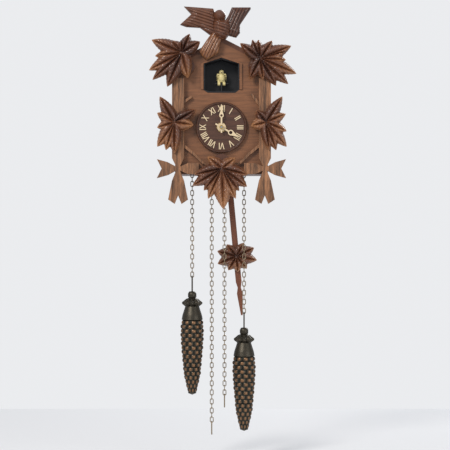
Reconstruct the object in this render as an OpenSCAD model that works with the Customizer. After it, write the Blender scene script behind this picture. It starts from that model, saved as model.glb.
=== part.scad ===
// Small carved cuckoo clock with a battery movement, in millimetres.
// The origin is the centre of the hanging hole. The wall is the plane y = 0, the front looks along -Y.

/* [Case] */
// Outside width of the case
case_w = 108; // [106:1:132]
// Depth from the wall to the front face of the front board
case_d = 62; // [60:1:76]
// Height from the underside of the floor to the eaves
case_h = 126.5; // [122:0.5:154]
// Depth of the eaves below the hanging hole
eaves_drop = 3.5; // [2:0.5:8]
// Slope of the roof in degrees
roof_slope = 27; // [22:1:34]
// Thickness of the side walls
side_t = 6; // [5:0.5:8]
// Thickness of the floor
floor_t = 8; // [6:0.5:10]
// Thickness of the front board
front_t = 9; // [8:0.5:11]
// Thickness of the roof boards
roof_t = 5; // [4:0.5:7]
// Overhang of the roof past each side
roof_over = 8; // [4:1:14]

/* [Back] */
// Thickness of the back door
door_t = 4; // [3:0.5:5]
// Depth of the door below the back edges
door_inset = 3; // [2.5:0.5:4]
// Height of the gable board below the hanging hole
gable_drop = 14; // [13:1:20]
// Thickness of the gable board
gable_t = 6; // [5:0.5:8]
// Radius of the hanging hole
hanger_r = 3.5; // [3:0.1:4]
// Width of the square hanger plate
hanger_w = 22; // [18:1:26]

/* [Window] */
// Width of the bird's window
window_w = 42; // [36:1:46]
// Height of the window's bottom edge below the hanging hole
window_drop = 35; // [32:1:38]
// Height from the window's bottom edge to the tops of its straight sides
window_side_h = 34; // [28:1:38]
// Height of the window's gable
window_rise = 7; // [4:1:10]
// Depth of the bird's chamber
chamber_d = 26; // [22:1:28]

/* [Dial] */
// Depth of the dial centre below the hanging hole
dial_drop = 75.4; // [74:0.2:82]
// Outside radius of the dial
dial_r = 29.8; // [27:0.2:34]
// Width of the dial's rim
rim_w = 2.8; // [2:0.2:4]
// Thickness of the dial
dial_t = 3; // [2.5:0.5:5]
// Height of the numerals
numeral_h = 7.6; // [6:0.2:9]
// Length of the minute hand from the centre
minute_len = 27; // [22:0.5:28]
// Length of the hour hand from the centre
hour_len = 22.6; // [18:0.5:24]

/* [Movement] */
// Width of the movement housing
move_w = 58; // [56:1:62]
// Height of the housing above the hand shaft
move_up = 30; // [28:1:32]
// Height of the housing below the hand shaft
move_down = 34; // [32:1:36]
// Depth of the housing
move_d = 20; // [19:1:22]
// Wall of the housing
move_wall = 1.6; // [1.2:0.1:2]
// Radius of a cell
cell_r = 7.2; // [7.1:0.05:7.3]
// Length of a cell
cell_len = 50; // [49.5:0.1:50.5]
// Radius of the loudspeaker
speaker_r = 20; // [16:1:21]

/* [Carving] */
// Thickness of the posts and rails
post_t = 8; // [6:0.5:10]
// Width of the posts
post_w = 13.9; // [11:0.1:16]
// Distance that a post stands out past the side of the case
post_out = 3.4; // [2:0.1:5]
// Thickness of the leaves
leaf_t = 10; // [8:0.5:13]
// Scale of the leaves about their centres
leaf_scale = 1; // [0.85:0.05:1.1]
// Thickness of the ridge bird's body
bird_t = 20; // [16:1:24]

/* [Pendulum] */
// Depth of the pendulum pivot below the hanging hole
pivot_drop = 40; // [39.5:0.5:42]
// Length from the pivot to the end of the rod
pendulum_len = 258; // [200:1:310]
// Distance from the pivot to the leaf's centre
bob_at = 187; // [140:1:224]
// Half of the whole swing in degrees
swing = 5.4; // [4:0.2:6]
// Width of the rod
rod_w = 7; // [6:0.5:8]
// Thickness of the rod
rod_t = 2.5; // [2:0.5:3]

/* [Chains and weights] */
// Distance of the chains from the wall
chain_y = 45; // [44:0.5:47]
// Distance between one link and the next
link_pitch = 5.33; // [4.8:0.1:6]
// Outside width of a link
link_w = 4.6; // [4:0.1:5]
// Thickness of the wire
wire_d = 1; // [0.8:0.05:1.1]
// Links in the left weight's strand
links_left_weight = 24; // [14:2:40]
// Links in the left free strand
links_left_free = 56; // [30:1:70]
// Links in the right free strand
links_right_free = 50; // [30:1:70]
// Links in the right weight's strand
links_right_weight = 32; // [14:2:44]
// Length of a weight's cone
cone_len = 114; // [92:1:138]
// Largest radius of a weight
cone_r = 14.2; // [11:0.2:15]

/* [Fits] */
// Radial clearance of a turning shaft
run_gap = 0.05; // [0.02:0.01:0.08]
// Gap beside a sliding or lifting piece
slide_gap = 0.3; // [0.2:0.05:0.5]

/* [Hidden] */
$fn = 48;

// A cut runs past the faces that it opens by this much.
past = 1;

// Heights and half widths of the case.
half_w = case_w / 2;
inner_x = half_w - side_t;
eaves_z = -eaves_drop;
floor_z = eaves_z - case_h;
floor_top = floor_z + floor_t;
roof_rise = half_w * tan(roof_slope);
apex_z = eaves_z + roof_rise;
roof_tz = roof_t / cos(roof_slope);
board_back = -case_d + front_t;
dial_z = -dial_drop;
dial_face = -case_d - dial_t;

// Carving layers in front of the board.
post_face = -case_d - post_t;
post_x = half_w + post_out - post_w / 2;
rail_z = floor_z + 6.5;

// Window and chamber.
window_z = -window_drop;
window_top = window_z + window_side_h;
chamber_wall = 1.5;
chamber_gap = 0.2;
chamber_back = -case_d + chamber_d;
corner_cut = [5, 3.5];

// The cuckoo turns on its perch bar.
perch_y = -case_d + 15;
perch_z = window_z + 11.8;
perch_r = 1.2;
perch_w = 16;
bow = 18;
arm_x = 2.7;
arm_t = 1.4;
lug_w = 3;
lug_at = 3;
solenoid_y = chamber_back + 5.5;
arm_len = solenoid_y - perch_y;
plunger_r = 2;
plunger_travel = arm_len * bow * PI / 180;
head_z = perch_z + 13.5;
wing_x = 4.35;
wing_z = perch_z + 11;
wing_pin_r = 0.35;
head_r = 2.9;

// Movement housing and its wheels. Wheels are given by tooth count and module.
move_back = board_back + move_d;
move_top = dial_z + move_up;
move_floor = dial_z - move_down;
motion_gap = 12;
cannon_n = 12;
minute_n = 36;
minute_pinion_n = 12;
hour_n = 48;
motion_module = 2 * motion_gap / (cannon_n + minute_n);
hour_module = 2 * motion_gap / (minute_pinion_n + hour_n);
centre_n = 60;
drive_n = 8;
drive_module = 0.33;
drive_gap = drive_module * (centre_n + drive_n) / 2;
drive_angle = 55;
drive_x = drive_gap * cos(drive_angle);
drive_z = dial_z + drive_gap * sin(drive_angle);
bush_r = 4;
arbor_r = 1.7;
tip_r = 1.2;
tube_r = 2.5;
pivot_r = 0.8;
knob_r = 5;
nut_t = 1.6;
hand_t = 1;
hour_hand_y = dial_face - nut_t - 0.7;
minute_hand_y = hour_hand_y - hand_t - 0.8;
button_x = -15;
slider_x = 11;
control_z = move_floor + 8;
slider_travel = 4;
button_r = 2.5;
button_travel = 1.5;

// Battery holder on the left wall.
holder_wall = 1.2;
holder_x0 = -inner_x;
cell_x = holder_x0 + holder_wall + cell_r + 0.15;
holder_x1 = cell_x + cell_r + 0.15 + holder_wall;
holder_z0 = floor_top + 8;
contact_t = 0.4;
cell_z0 = holder_z0 + holder_wall + contact_t;
holder_z1 = cell_z0 + cell_len + contact_t + holder_wall;
holder_y0 = board_back;
cell_y = [holder_y0 + holder_wall + cell_r + 0.15, holder_y0 + holder_wall + 3 * cell_r + 0.45];
holder_y1 = holder_y0 + holder_wall + 4 * cell_r + 0.6;

// Loudspeaker on the right wall.
speaker_y = board_back + speaker_r + 4;
speaker_z = dial_z - 10;
sound_r = 2.4;

// Pendulum. Its plane lies this far from the wall.
pendulum_y = 16;
pivot_z = -pivot_drop;
stud_r = 1.2;
stud_end = -pendulum_y + 5.4;
bracket_t = 2;
coil_drop = 18;
coil_r = 7;
coil_t = 9;
leader_t = 2;
leader_len = 36;
slot_half = (pivot_z - floor_z) * tan(swing) + rod_w / 2 + 2;
slot_y = [-pendulum_y - 3.5, -pendulum_y + 6];

// Back door on its two pins.
door_y0 = -door_inset - door_t;
door_axis = [-inner_x + door_t / 2 + 1, -door_inset - door_t / 2];
door_x1 = inner_x - 1;
door_z0 = floor_top + 1;
door_z1 = -gable_drop - 1;
pin_r = 1;
pin_reach = 5;
latch_z = dial_z;
latch_len = 12;
latch_w = 4.4;
latch_t = 1.2;
latch_x = half_w - side_t / 2;

// Chains. A strand hangs from a pin across its hole in the floor.
link_inner = link_pitch + 0.35;
chain_x = [-34.5, -11.5, 3.5, 26.5];
chain_links = [links_left_weight, links_left_free, links_right_free, links_right_weight];
chain_pin_r = 0.75;
chain_pin_z = floor_top - chain_pin_r;
first_link_z = chain_pin_z + chain_pin_r + 0.1 - link_inner / 2;
chain_hole_r = 3.3;
chain_hole_run = 2;

// Weights. The crown spreads over the top of the cone.
hook_wire = 1.6;
hook_r = 4.2;
hook_stem = 10;
hook_gap = 0.25;
free_hook_r = 2.6;
free_hook_wire = 1.4;
free_hook_stem = 11.5;
leaf_hub = 8;

// Leaf lobes: x and z of the tip from the leaf's centre, then the width of the lobe.
lobes_top_left = [[-35, 15, 15], [-31, -3.5, 13], [-38, -20, 15], [-34, -31, 13], [-17, -39, 16], [7, -29, 15],
    [-12, 14, 13], [0, 14, 12], [9, 22, 12], [21, 13, 14]];
lobes_top_right = [[36, 15, 15], [31, 9, 12], [30, -1, 12], [42, -17, 15], [32.5, -29, 14], [18.5, -31, 14],
    [3.5, -24, 12], [-12, -23, 13], [14, 21, 12], [-2, 22, 11], [-9, 22, 11], [-23, 18, 12]];
lobes_mid_left = [[-17, 30, 13], [-20, 11, 12], [-20, -6, 12], [-20, -28, 14], [-10, -32, 13], [0, -36, 14],
    [22, -3, 14], [25, 15, 12]];
lobes_mid_right = [[19, 30, 13], [23, 10, 12], [24, -10, 12], [24, -28, 14], [12, -32, 13], [3.5, -32, 12],
    [-17, -4, 13], [-11, 14, 12]];
lobes_bottom = [[-34, -20, 15], [-21, -25.5, 13], [-32, -7, 14], [30, -7, 14], [29, -21, 15], [20, -26, 13],
    [-16, -35, 13], [16, -35, 13], [1.7, -47, 20], [-16.5, 13.5, 12], [15.5, 12, 12]];
lobes_bob = [[-22, 8, 13], [-23, -7, 13], [22, 8, 13], [24, -7, 13], [-11, -16, 12], [11, -16, 12], [0, -19, 13],
    [-10, 15, 11], [10, 15, 11]];
blade_steps = 8;

// ---- shared shapes ----

// Extrudes an outline drawn in x and z forward, towards -Y, from the plane y = back.
module slab(back, thick) {
    translate([0, back, 0]) rotate([90, 0, 0]) linear_extrude(thick) children();
}

// A shaft along Y that starts at y = back and runs forward.
module shaft(x, z, back, len, r) {
    translate([x, back, z]) rotate([90, 0, 0]) cylinder(h = len, r = r);
}

// A box given by its low and high corners.
module block(low, high) {
    translate(low) cube(high - low);
}

// Pointed blade from the origin to its tip, widest a little past the middle.
function blade_half(t, w) = w * (0.2 * (1 - t) + 0.5 * pow(sin(180 * pow(t, 0.8)), 0.8));
module blade(tip, w) {
    len = norm(tip);
    side = [for (k = [0 : blade_steps - 1]) let (t = k / blade_steps) [t * len, blade_half(t, w)]];
    back = [for (k = [blade_steps - 1 : -1 : 0]) let (t = k / blade_steps) [t * len, -blade_half(t, w)]];
    rotate(atan2(tip[1], tip[0])) polygon(concat(side, [[len, 0]], back));
}

module leaf_outline(lobes) {
    for (lobe = lobes) blade([lobe[0], lobe[1]] * leaf_scale, lobe[2] * leaf_scale);
}

// A leaf in front of the posts, with a round boss that carries it on the board behind.
module leaf(centre, lobes, boss, boss_r) {
    slab(post_face, leaf_t) translate(centre) leaf_outline(lobes);
    shaft(centre[0], centre[1], post_face, leaf_t, leaf_hub * leaf_scale);
    if (boss_r > 0) shaft(boss[0], boss[1], -case_d, post_t, boss_r);
}

// Outline with n teeth and rounded-off flanks, thin enough to leave backlash; one tooth points along x.
module gear_outline(n, m) {
    pitch = 360 / n;
    root = m * (n / 2 - 1.15);
    tip = m * (n / 2 + 0.75);
    polygon([for (k = [0 : n - 1]) each [
        root * [cos((k - 0.27) * pitch), sin((k - 0.27) * pitch)],
        tip * [cos((k - 0.09) * pitch), sin((k - 0.09) * pitch)],
        tip * [cos((k + 0.09) * pitch), sin((k + 0.09) * pitch)],
        root * [cos((k + 0.27) * pitch), sin((k + 0.27) * pitch)]]]);
}

// A wheel whose tooth, or gap, is centred on the given direction.
module wheel(x, z, back, thick, n, m, direction, gap = false) {
    slab(back, thick) translate([x, z]) rotate(direction + (gap ? 180 / n : 0)) gear_outline(n, m);
}

// Screw with its head towards +Y.
screw_r = 1;
head_t = 1.2;
module screw(x, y, z, len, r = screw_r) {
    shaft(x, z, y + head_t, head_t, 2 * r);
    shaft(x, z, y, len, r);
}
module screw_hole(x, y, z, len, r = screw_r) {
    shaft(x, z, y + past, len + past, r + run_gap);
}

// ---- case ----

module gable_outline(low, top_cut = 0) {
    polygon([[-half_w, low], [half_w, low], [half_w, eaves_z - top_cut], [0, apex_z - top_cut],
        [-half_w, eaves_z - top_cut]]);
}

module window_outline(grow) {
    w = window_w / 2 + grow;
    polygon([[-w + corner_cut[0], window_z - grow], [w - corner_cut[0], window_z - grow],
        [w, window_z + corner_cut[1]], [w, window_top], [0, window_top + window_rise + grow], [-w, window_top],
        [-w, window_z + corner_cut[1]]]);
}

module front_board() {
    color("peru") difference() {
        slab(board_back, front_t) gable_outline(floor_z);
        slab(board_back + past, front_t + 2 * past) window_outline(0);
        shaft(0, dial_z, board_back + past, front_t + 2 * past, bush_r + slide_gap);
    }
}

module side_wall(side) {
    x0 = side < 0 ? -half_w : inner_x;
    top_out = eaves_z;
    top_in = eaves_z + side_t * tan(roof_slope);
    slab(0, case_d - front_t) translate([x0, 0]) polygon([[0, floor_top], [side_t, floor_top],
        [side_t, side < 0 ? top_in : top_out], [0, side < 0 ? top_out : top_in]]);
}

module side_left() {
    color("saddlebrown") side_wall(-1);
}

module side_right() {
    color("saddlebrown") difference() {
        side_wall(1);
        for (a = [0 : 60 : 300]) sound_hole(2.6 * sound_r * [cos(a), sin(a)]);
        for (a = [0 : 30 : 330]) sound_hole(5.2 * sound_r * [cos(a), sin(a)]);
        sound_hole([0, 0]);
        block([inner_x - past, -door_inset, latch_z - latch_w],
            [half_w + past, past, latch_z + latch_len + latch_w / 2]);
        screw_hole(latch_x, -door_inset, latch_z, 8);
    }
}

module sound_hole(at) {
    translate([inner_x - past, speaker_y + at[0], speaker_z + at[1]]) rotate([0, 90, 0])
        cylinder(h = side_t + 2 * past, r = sound_r);
}

module floor_board() {
    color("saddlebrown") difference() {
        block([-half_w, board_back, floor_z], [half_w, 0, floor_top]);
        block([-slot_half, slot_y[0], floor_z - past], [slot_half, slot_y[1], floor_top + past]);
        for (x = chain_x) chain_hole(x);
        translate([door_axis[0], door_axis[1], floor_top - pin_reach])
            cylinder(h = pin_reach + past, r = pin_r + run_gap);
    }
}

// A hole long enough for the strand to swing forward, with a groove for the pin that carries it.
module chain_hole(x) {
    for (y = [-chain_y, -chain_y - chain_hole_run]) translate([x, y, floor_z - past])
        cylinder(h = floor_t + 2 * past, r = chain_hole_r);
    block([x - chain_hole_r, -chain_y - chain_hole_run, floor_z - past],
        [x + chain_hole_r, -chain_y, floor_top + past]);
    block([x - chain_pin_half, -chain_y - chain_pin_r, floor_top - 2 * chain_pin_r],
        [x + chain_pin_half, -chain_y + chain_pin_r, floor_top + past]);
}
chain_pin_half = 6;

module chain_pins() {
    color("dimgray") for (x = chain_x) translate([x - chain_pin_half, -chain_y, chain_pin_z]) rotate([0, 90, 0])
        cylinder(h = 2 * chain_pin_half, r = chain_pin_r);
}

module roof_boards() {
    run = half_w + roof_over;
    drop = run * tan(roof_slope);
    color("saddlebrown") for (side = [-1, 1]) slab(0, case_d) polygon([[0, apex_z], [side * run, apex_z - drop],
        [side * run, apex_z - drop + roof_tz], [0, apex_z + roof_tz]]);
}

module back_gable() {
    rise = inner_x * tan(roof_slope);
    color("burlywood") difference() {
        slab(0, gable_t) polygon([[-inner_x, -gable_drop], [inner_x, -gable_drop],
            [inner_x, apex_z - rise], [0, apex_z], [-inner_x, apex_z - rise]]);
        block([-hanger_w / 2, -hanger_t, -hanger_w / 2], [hanger_w / 2, past, hanger_w / 2]);
        shaft(0, 0, past, gable_t + 2 * past, hanger_r + 2.5);
        for (x = [-1, 1]) screw_hole(x * hanger_screw_x, 0, 0, gable_t);
        translate([door_axis[0], door_axis[1], -gable_drop - past])
            cylinder(h = pin_reach + past, r = pin_r + run_gap);
    }
}
hanger_t = 2;
hanger_screw_x = 8;

module hanger_plate() {
    color("silver") difference() {
        block([-hanger_w / 2, -hanger_t, -hanger_w / 2], [hanger_w / 2, 0, hanger_w / 2]);
        shaft(0, 0, past, hanger_t + 2 * past, hanger_r);
        for (x = [-1, 1]) {
            screw_hole(x * hanger_screw_x, 0, 0, hanger_t + past);
            shaft(x * hanger_screw_x, 0, past, past + head_t, 2 * screw_r + run_gap);
        }
    }
}

// Brass screws seated on what they hold.
module screws() {
    color("gold") {
        for (x = [-1, 1]) screw(x * hanger_screw_x, -head_t, 0, gable_t - head_t - 0.5);
        for (at = lid_screws) screw(at[0], move_back, at[1], 4);
        for (at = bracket_screws) screw(at[0], move_back + bracket_t, at[1], bracket_t + 1.2);
        screw(latch_x, -door_inset + 0.1 + latch_t + run_gap, latch_z, 8);
    }
}
lid_screws = [for (x = [-1, 1]) for (z = [move_floor + 4, move_top - 4]) [x * (move_w / 2 - 4), z]];
bracket_screws = [for (x = [-1, 1]) [x * 8.5, dial_z + 12]];

// ---- carvings ----

module post_outline(side) {
    w = post_w / 2;
    x = side * post_x;
    foot = rail_z - 36;
    polygon([[x - w, eaves_z - 15], [x + w, eaves_z - 15], [x + w, rail_z + 12], [x + 2.5, rail_z + 3],
        [x + 2.5, rail_z - 3], [x + w, rail_z - 14], [x + w + 4.5, foot], [x + 4, foot - 5],
        [x, foot + 5], [x - 4, foot - 5], [x - w - 4.5, foot], [x - w, rail_z - 14], [x - 2.5, rail_z - 3],
        [x - 2.5, rail_z + 3], [x - w, rail_z + 12]]);
}

// A thin carved twig that runs from one point to another and narrows.
module twig(from, to, w0, w1) {
    way = to - from;
    translate(from) rotate(atan2(way[1], way[0]))
        polygon([[0, -w0 / 2], [norm(way), -w1 / 2], [norm(way), w1 / 2], [0, w0 / 2]]);
}

module post(side) {
    twig_t = 0.6 * post_t;
    color("tan") {
        difference() {
            slab(-case_d, post_t) post_outline(side);
            block([side * post_x - 2.6, post_face / 2 - case_d / 2, rail_z - 2.5],
                [side * post_x + 2.6, -case_d + past, rail_z + 2.5]);
        }
        slab(-case_d, twig_t) {
            twig([side * (post_x - 3), dial_z + (side < 0 ? 27 : 22)],
                [side * (post_x - 16), dial_z + (side < 0 ? 36 : 39)], 4, 2);
            twig([side * (post_x - 3), dial_z - 18], [side * (post_x - 17), dial_z - 30], 3.5, 2.8);
            twig([side * (post_x - 16.5), dial_z - 29], [side * (post_x - 29), dial_z - 42], 2.8, 2);
            twig([side * (post_x - 24), dial_z - 37], [side * (post_x - 33), dial_z - 44], 2.4, 1.6);
        }
    }
}

module post_left() post(-1);
module post_right() post(1);

module rail_outline(side) {
    x = side * post_x;
    polygon([[x + side * 24.5, rail_z + 11], [x + side * 12, rail_z + 7.5], [x + side * 2.6, rail_z + 2.5],
        [x - side * 2.6, rail_z + 2.5], [x - side * 12, rail_z + 6.4], [x - side * 24, rail_z + 6.4],
        [x - side * 24, rail_z - 6.4], [x - side * 12, rail_z - 6.4], [x - side * 2.6, rail_z - 2.5],
        [x + side * 2.6, rail_z - 2.5], [x + side * 12, rail_z - 7.5], [x + side * 24.5, rail_z - 11],
        [x + side * 19, rail_z]]);
}

// The rails cross the posts in half-lap joints.
module cross_rails() {
    color("tan") for (side = [-1, 1]) difference() {
        slab(-case_d, post_t) rail_outline(side);
        block([side * post_x - 2.5, post_face - past, rail_z - 4],
            [side * post_x + 2.5, post_face / 2 - case_d / 2, rail_z + 4]);
    }
}

module leaf_top_left() {
    color("sienna") leaf([-half_w + 8.2, eaves_z + 13.9], lobes_top_left, [-half_w + 14, eaves_z - 1], 9);
}

module leaf_top_right() {
    color("sienna") leaf([half_w - 9.3, eaves_z + 7], lobes_top_right, [half_w - 14, eaves_z - 1], 9);
}

module leaf_mid_left() {
    color("sienna") leaf([-post_x - 4, dial_z + 5.2], lobes_mid_left, [0, 0], 0);
}

module leaf_mid_right() {
    color("sienna") leaf([post_x + 1, dial_z + 5.2], lobes_mid_right, [0, 0], 0);
}

module leaf_bottom() {
    color("sienna") leaf([0.5, rail_z], lobes_bottom, [0, rail_z + 6], 11);
}

// The bird on the ridge: a thick body and head, thinner wings and a fanned tail.
module ridge_bird() {
    z = apex_z + 16;
    color("sienna") {
        slab(-case_d, bird_t) translate([0, z]) {
            polygon([[-8, 9], [-10.5, 1], [-9, -8], [-3, -14], [5, -13], [9.5, -7], [11, 2], [8, 9]]);
            translate([-2, 13.5]) circle(r = 7);
        }
        slab(-case_d - 3, bird_t - 9) translate([0, z]) {
            polygon([[-6, 12], [-9, 22], [-35, 24], [-43.5, 24.5], [-35, 15.5], [-48, 3.5], [-41, 1],
                [-25, 0], [-14, -8], [-4, -8]]);
            polygon([[4, -8], [17, -11.5], [21.5, -6], [21.5, 3.5], [34, 22], [34, 23.5], [12, 23.5],
                [8, 14], [4, 8]]);
            polygon([[-8, -2], [0, -12], [-4, -29], [-10, -33], [-17, -37], [-22, -33], [-26, -27.5],
                [-17, -14]]);
        }
    }
}

// A thin frame round the window's sides and gable.
module window_trim() {
    color("burlywood") slab(-case_d, 2) difference() {
        window_outline(3);
        window_outline(0);
        translate([-case_w / 2, window_z - 10]) square([case_w, 14]);
    }
}

// ---- window chamber and cuckoo ----

module window_chamber() {
    rear = chamber_back - perch_y;
    color("black") {
        difference() {
            slab(chamber_back, chamber_d) window_outline(-chamber_gap);
            slab(chamber_back - chamber_wall, chamber_d) window_outline(-chamber_gap - chamber_wall);
            block([arm_x - arm_t / 2 - 0.5, chamber_back - 2 * chamber_wall, perch_z - arm_t / 2 - 0.5],
                [arm_x + arm_t / 2 + 0.5, chamber_back + past,
                    perch_z + arm_t / 2 + 0.5 + rear * sin(bow) + 0.3]);
        }
        translate([-perch_w / 2, perch_y, perch_z]) rotate([0, 90, 0]) cylinder(h = perch_w, r = perch_r);
        translate([0, perch_y, window_z + chamber_gap + chamber_wall / 2])
            cylinder(h = perch_z - window_z - chamber_gap - chamber_wall / 2, r = perch_r - 0.1);
    }
}

// Body turned about a vertical axis above the perch, with a lug on each side of the perch's stem.
module cuckoo_body() {
    color("cornsilk") difference() {
        union() {
            translate([0, perch_y, perch_z]) rotate_extrude() polygon([[0, 1.6], [2.4, 1.9], [4, 4.6],
                [4.4, 7.6], [3.6, 10.6], [2.3, 12], [0, 12]]);
            translate([0, perch_y - 1, head_z]) sphere(r = head_r);
            for (x = [-lug_at, lug_at]) {
                translate([x - lug_w / 2, perch_y, perch_z]) rotate([0, 90, 0])
                    cylinder(h = lug_w, r = perch_r + 1);
                block([x - lug_w / 2, perch_y - 1.6, perch_z + 1.4], [x + lug_w / 2 - 1, perch_y + 1.6,
                    perch_z + 5]);
            }
            slab(perch_y + 8.5, 7) polygon([[-2, perch_z + 2.6], [2, perch_z + 2.6], [1.6, perch_z + 6],
                [-1.6, perch_z + 6]]);
            block([-0.7, perch_y - 6.8, head_z - 0.2], [0.7, perch_y - 3, head_z + 0.8]);
            for (x = [-1, 1]) for (y = [-2.5, 1.7])
                block([x * 3.1 - 1.9, perch_y + y, wing_z - 0.7], [x * 3.1 + 1.9, perch_y + y + 0.8, wing_z + 0.7]);
            block([arm_x - arm_t / 2, perch_y + perch_r + 0.4, perch_z - arm_t / 2],
                [arm_x + arm_t / 2, solenoid_y + 0.7, perch_z + arm_t / 2]);
            translate([arm_x - 1.9, solenoid_y, perch_z]) rotate([0, 90, 0]) cylinder(h = 3.8, r = 0.5);
        }
        translate([-perch_w, perch_y, perch_z]) rotate([0, 90, 0])
            cylinder(h = 2 * perch_w, r = perch_r + run_gap);
        for (x = [-wing_x, wing_x]) shaft(x, wing_z, perch_y + 4, 8, wing_pin_r + run_gap);
    }
}

// Lower half of the beak; it drops open.
module cuckoo_beak() {
    color("dimgray") block([-0.7, perch_y - 6.4, head_z - 1.1], [0.7, perch_y - 1 - head_r - 0.1, head_z - 0.3]);
}

// A wing hangs beside the body on a short pin along Y.
module cuckoo_wing(side) {
    x = side * (wing_x + 0.75);
    color("cornsilk") {
        translate([x - 0.4, perch_y, perch_z]) rotate([90, 0, 90]) linear_extrude(0.8) polygon([[-1.5, 11.5],
            [1.5, 11.5], [1.5, 9.9], [3.8, 8], [4.8, 3.4], [2.4, 4], [-1.9, 8], [-1.5, 9.9]]);
        shaft(side * wing_x, wing_z, perch_y + 1.5, 3, 0.7);
        shaft(side * wing_x, wing_z, perch_y + 2.5, 5, wing_pin_r);
    }
}

module cuckoo_wing_left() cuckoo_wing(-1);
module cuckoo_wing_right() cuckoo_wing(1);

// Yoke and winding behind the chamber, with an upright bore for the plunger.
module solenoid() {
    z0 = perch_z + 8.7;
    color("darkorange") difference() {
        union() {
            block([arm_x - 6, chamber_back, z0], [arm_x + 6, chamber_back + 11, z0 + 1.5]);
            block([arm_x - 6, chamber_back, z0 + 13], [arm_x + 6, chamber_back + 11, z0 + 14.5]);
            block([arm_x - 6, chamber_back, z0], [arm_x + 6, chamber_back + 1, z0 + 14.5]);
            translate([arm_x, solenoid_y, z0 + 1]) cylinder(h = 12.5, r = 4.8);
        }
        translate([arm_x, solenoid_y, z0 - past]) cylinder(h = 14.5 + 2 * past, r = plunger_r + run_gap);
    }
}

// Plunger with two cheeks whose slots let the arm's cross pin slide.
module solenoid_plunger() {
    color("silver") {
        translate([arm_x, solenoid_y, perch_z + 2.3]) cylinder(h = 14, r = plunger_r);
        difference() {
            for (x = [-1.9, 0.9]) block([arm_x + x, solenoid_y - 2.4, perch_z - 1.2],
                [arm_x + x + 1, solenoid_y + 2, perch_z + 3]);
            block([arm_x - 3, solenoid_y - 1.7, perch_z - 0.7], [arm_x + 3, solenoid_y + 0.7, perch_z + 0.7]);
        }
    }
}

// ---- dial and hands ----

module dial_disc() {
    color("saddlebrown") translate([0, -case_d, dial_z]) rotate([90, 0, 0]) rotate_extrude($fn = 96) polygon([
        [bush_r + slide_gap, 0], [dial_r, 0], [dial_r, dial_t + 1], [dial_r - rim_w / 3, dial_t + 2],
        [dial_r - 2 * rim_w / 3, dial_t + 2], [dial_r - rim_w, dial_t], [bush_r + slide_gap, dial_t]]);
}

// One upright letter of a numeral, centred on x = 0, drawn up from y = 0.
numeral_bar = 1.05;
module letter(kind) {
    w = 0.27 * numeral_h;
    b = numeral_bar / 2;
    if (kind == "I") translate([-b, 0]) square([2 * b, numeral_h]);
    if (kind == "V") {
        polygon([[-w - b, numeral_h], [-w + b, numeral_h], [b, 0], [-b, 0]]);
        polygon([[w - b, numeral_h], [w + b, numeral_h], [b, 0], [-b, 0]]);
    }
    if (kind == "X") {
        polygon([[-w - b, 0], [-w + b, 0], [w + b, numeral_h], [w - b, numeral_h]]);
        polygon([[w - b, 0], [w + b, 0], [-w + b, numeral_h], [-w - b, numeral_h]]);
    }
}

function letter_w(kind) = kind == "I" ? 1.85 : 0.66 * numeral_h;
function width_to(word, n) = n == 0 ? 0 : letter_w(word[n - 1]) + width_to(word, n - 1);
words = ["I", "II", "III", "IIII", "V", "VI", "VII", "VIII", "IX", "X", "XI", "XII"];

module numeral(word) {
    for (n = [0 : len(word) - 1])
        translate([width_to(word, n) + letter_w(word[n]) / 2 - width_to(word, len(word)) / 2, 0])
            letter(word[n]);
}

module dial_numerals() {
    foot = dial_r - rim_w - 1.4 - numeral_h;
    color("wheat") for (hour = [1 : 12]) slab(dial_face, 0.7) translate([0, dial_z])
        rotate(-30 * hour) translate([0, foot]) numeral(words[hour - 1]);
}

module dial_nut() {
    color("gold") difference() {
        slab(dial_face, nut_t) translate([0, dial_z]) circle(r = bush_r + 1.9, $fn = 6);
        shaft(0, dial_z, dial_face + past, nut_t + 2 * past, bush_r + run_gap);
    }
}

// Carved hand: a hub, a stem, a pierced ring and a pointed tip. The ring sits at ring_at.
module hand_outline(len, hub, ring_at, ring, bore) {
    difference() {
        union() {
            circle(r = hub);
            translate([-0.9, -hub - 3]) square([1.8, len + hub - 3]);
            translate([0, ring_at]) circle(r = ring);
            polygon([[-ring, ring_at + 1], [ring, ring_at + 1], [0.9, ring_at + ring + 3], [-0.9, ring_at + ring + 3]]);
            polygon([[-2.1, len - 6.5], [0, len - 8.5], [2.1, len - 6.5], [0, len]]);
        }
        translate([0, ring_at]) circle(r = ring - 1.2);
        circle(r = bore);
    }
}

module minute_hand() {
    color("ivory") slab(minute_hand_y, hand_t) translate([0, dial_z])
        hand_outline(minute_len, 3.6, 0.5 * minute_len, 2.6, tip_r + run_gap);
}

// Stands at four o'clock.
module hour_hand() {
    color("ivory") slab(hour_hand_y, hand_t) translate([0, dial_z]) rotate(-120)
        hand_outline(hour_len, 5, 0.55 * hour_len, 3.2, tube_r + run_gap);
}

module hand_nut() {
    color("gold") difference() {
        slab(minute_hand_y - hand_t, 1.6) translate([0, dial_z]) circle(r = 2.4);
        shaft(0, dial_z, minute_hand_y, 4, tip_r + run_gap);
    }
}

// ---- movement ----

module move_outline(cut) {
    translate([-move_w / 2 + cut, move_floor + cut]) square([move_w - 2 * cut, move_up + move_down - 2 * cut]);
}

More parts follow.
